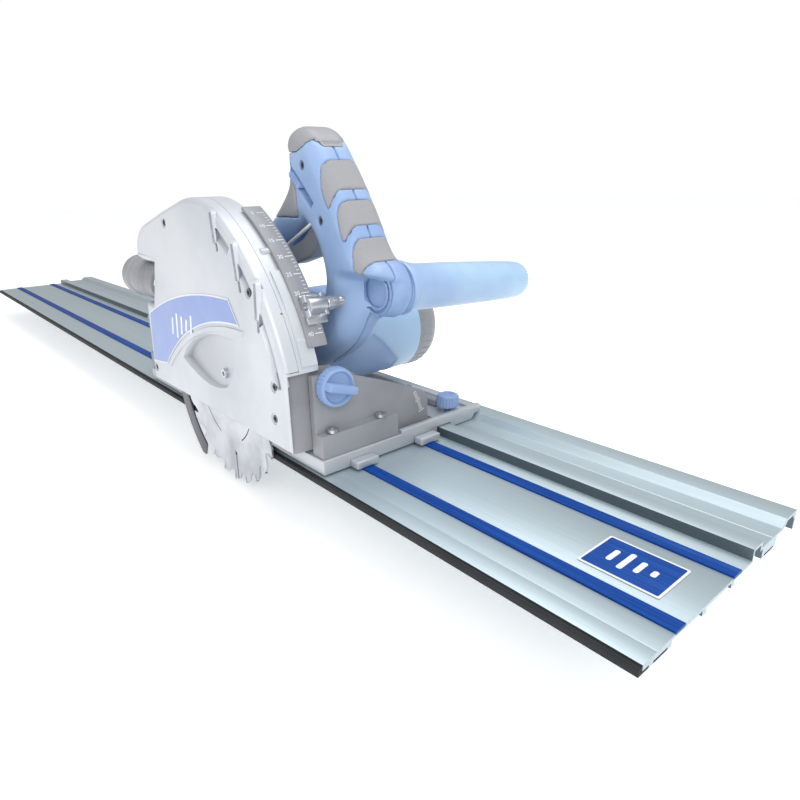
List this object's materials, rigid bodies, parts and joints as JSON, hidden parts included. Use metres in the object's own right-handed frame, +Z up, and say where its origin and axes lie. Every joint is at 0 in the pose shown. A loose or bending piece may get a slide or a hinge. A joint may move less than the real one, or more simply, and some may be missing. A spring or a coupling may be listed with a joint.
{
  "type": "track plunge saw",
  "caption": "Plunge-cut circular saw on an aluminium guide track, with bevel tilt, depth stop, D-handle and side handle",
  "frame": {"origin": "middle of the track's cutting edge, at the level of the work, on the underside of the splinter guard", "axes": "+X along the track in the cutting direction, +Y from the cutting edge across the track to the motor side, +Z up from the work"},
  "size_m": [1.4, 0.2342, 0.276],
  "materials": {
    "rail_aluminium": "satin",
    "strip_blue": "satin",
    "splinter_rubber": "matte",
    "base_cast": "satin",
    "body_blue": "satin",
    "black_plastic": "matte",
    "cover_paint": "satin",
    "bright_steel": "satin",
    "dark_steel": "satin",
    "housing_alloy": "matte",
    "motor_copper": "satin"
  },
  "bodies": {
    "track": {"track_rail": "rail_aluminium", "glide_strip_left": "strip_blue", "glide_strip_right": "strip_blue", "splinter_guard": "splinter_rubber", "grip_strip_left": "splinter_rubber", "grip_strip_right": "splinter_rubber", "track_badge": "strip_blue"},
    "base": {"base_plate": "base_cast", "glide_shoe_left": "base_cast", "glide_shoe_right": "base_cast", "fit_lever": "black_plastic", "front_bevel_bracket": "black_plastic", "rear_bevel_bracket": "black_plastic", "front_bracket_screw_left": "bright_steel", "front_bracket_screw_right": "bright_steel", "rear_bracket_screw_left": "bright_steel", "rear_bracket_screw_right": "bright_steel"},
    "fit_knob": {"fit_knob": "body_blue"},
    "front_bevel_knob": {"front_bevel_knob": "body_blue"},
    "rear_bevel_knob": {"rear_bevel_knob": "body_blue"},
    "tilt_frame": {"front_tilt_block": "black_plastic", "rear_tilt_segment": "black_plastic", "cover_outer": "cover_paint", "cover_inner": "cover_paint", "cover_label": "strip_blue", "dust_port": "black_plastic", "depth_scale": "black_plastic", "cover_screw_1": "dark_steel", "cover_screw_2": "dark_steel", "cover_screw_3": "dark_steel", "cover_screw_4": "dark_steel", "cover_screw_5": "dark_steel", "scoop_bolt": "bright_steel", "plunge_pin": "bright_steel", "return_spring": "dark_steel"},
    "depth_stop": {"depth_stop": "bright_steel", "depth_stop_screw": "bright_steel"},
    "saw_head": {"gear_housing": "housing_alloy", "motor_housing": "body_blue", "motor_end_cap": "black_plastic", "stator": "motor_copper", "handle_left_shell": "body_blue", "handle_right_shell": "body_blue", "grip_insert_1": "splinter_rubber", "grip_insert_2": "splinter_rubber", "grip_insert_3": "splinter_rubber", "handle_cap": "black_plastic", "cord_grommet": "splinter_rubber", "power_switch": "black_plastic", "stick_handle": "body_blue"},
    "blade_spindle": {"spindle": "bright_steel", "drive_gear": "bright_steel", "inner_flange": "bright_steel", "blade": "bright_steel", "arbor_bolt": "dark_steel"},
    "rotor": {"rotor": "motor_copper"},
    "riving_knife": {"riving_knife": "dark_steel"},
    "trigger": {"trigger": "black_plastic"},
    "lock_off_slider": {"lock_off_slider": "body_blue"},
    "spindle_lock": {"spindle_lock": "black_plastic"}
  },
  "joints": [
    {"name": "saw_slide", "type": "slide", "parent": "track", "child": "base", "axis": [1, 0, 0], "range_m": [-0.8, 0.22]},
    {"name": "bevel_tilt", "type": "hinge", "parent": "base", "child": "tilt_frame", "pos_m": [0.328, 0, 0], "axis": [1, 0, 0], "range_deg": [0, 45]},
    {"name": "plunge", "type": "hinge", "parent": "tilt_frame", "child": "saw_head", "pos_m": [0.216, 0, 0.062], "axis": [0, 1, 0], "range_deg": [-22, 0]},
    {"name": "knife_swing", "type": "hinge", "parent": "saw_head", "child": "riving_knife", "pos_m": [0.328, 0, 0.039], "axis": [0, 1, 0], "range_deg": [0, 13.2]},
    {"name": "blade_spin", "type": "hinge", "parent": "saw_head", "child": "blade_spindle", "pos_m": [0.328, 0, 0.039], "axis": [0, 1, 0], "continuous": true},
    {"name": "rotor_spin", "type": "hinge", "parent": "saw_head", "child": "rotor", "pos_m": [0.328, 0, 0.068], "axis": [0, 1, 0], "continuous": true},
    {"name": "trigger_pull", "type": "hinge", "parent": "saw_head", "child": "trigger", "pos_m": [0.392, 0, 0.166], "axis": [0, 1, 0], "range_deg": [0, 8], "stiffness_Nm_per_rad": 0.4},
    {"name": "lock_off_slide", "type": "slide", "parent": "saw_head", "child": "lock_off_slider", "axis": [0.7198, 0, -0.6941], "range_m": [0, 0.008], "stiffness_N_per_m": 200},
    {"name": "spindle_lock_press", "type": "slide", "parent": "saw_head", "child": "spindle_lock", "axis": [-0.5736, 0, -0.8192], "range_m": [0, 0.003], "stiffness_N_per_m": 600},
    {"name": "depth_stop_slide", "type": "hinge", "parent": "tilt_frame", "child": "depth_stop", "pos_m": [0.288, 0, 0.038], "axis": [0, -1, 0], "range_deg": [-8, 28]},
    {"name": "front_knob_turn", "type": "hinge", "parent": "base", "child": "front_bevel_knob", "pos_m": [0.451, 0.019, 0.067], "axis": [1, 0, 0], "range_deg": [0, 180]},
    {"name": "rear_knob_turn", "type": "hinge", "parent": "base", "child": "rear_bevel_knob", "pos_m": [0.144, 0.019, 0.067], "axis": [-1, 0, 0], "range_deg": [0, 180]},
    {"name": "fit_knob_turn", "type": "hinge", "parent": "base", "child": "fit_knob", "pos_m": [0.445, 0.138, 0.02], "axis": [0, 0, 1], "range_deg": [-90, 90]}
  ],
  "couplings": [
    {"joint": "rotor_spin", "follows": "blade_spin", "ratio": -3},
    {"joint": "knife_swing", "follows": "plunge", "ratio": -0.6}
  ]
}
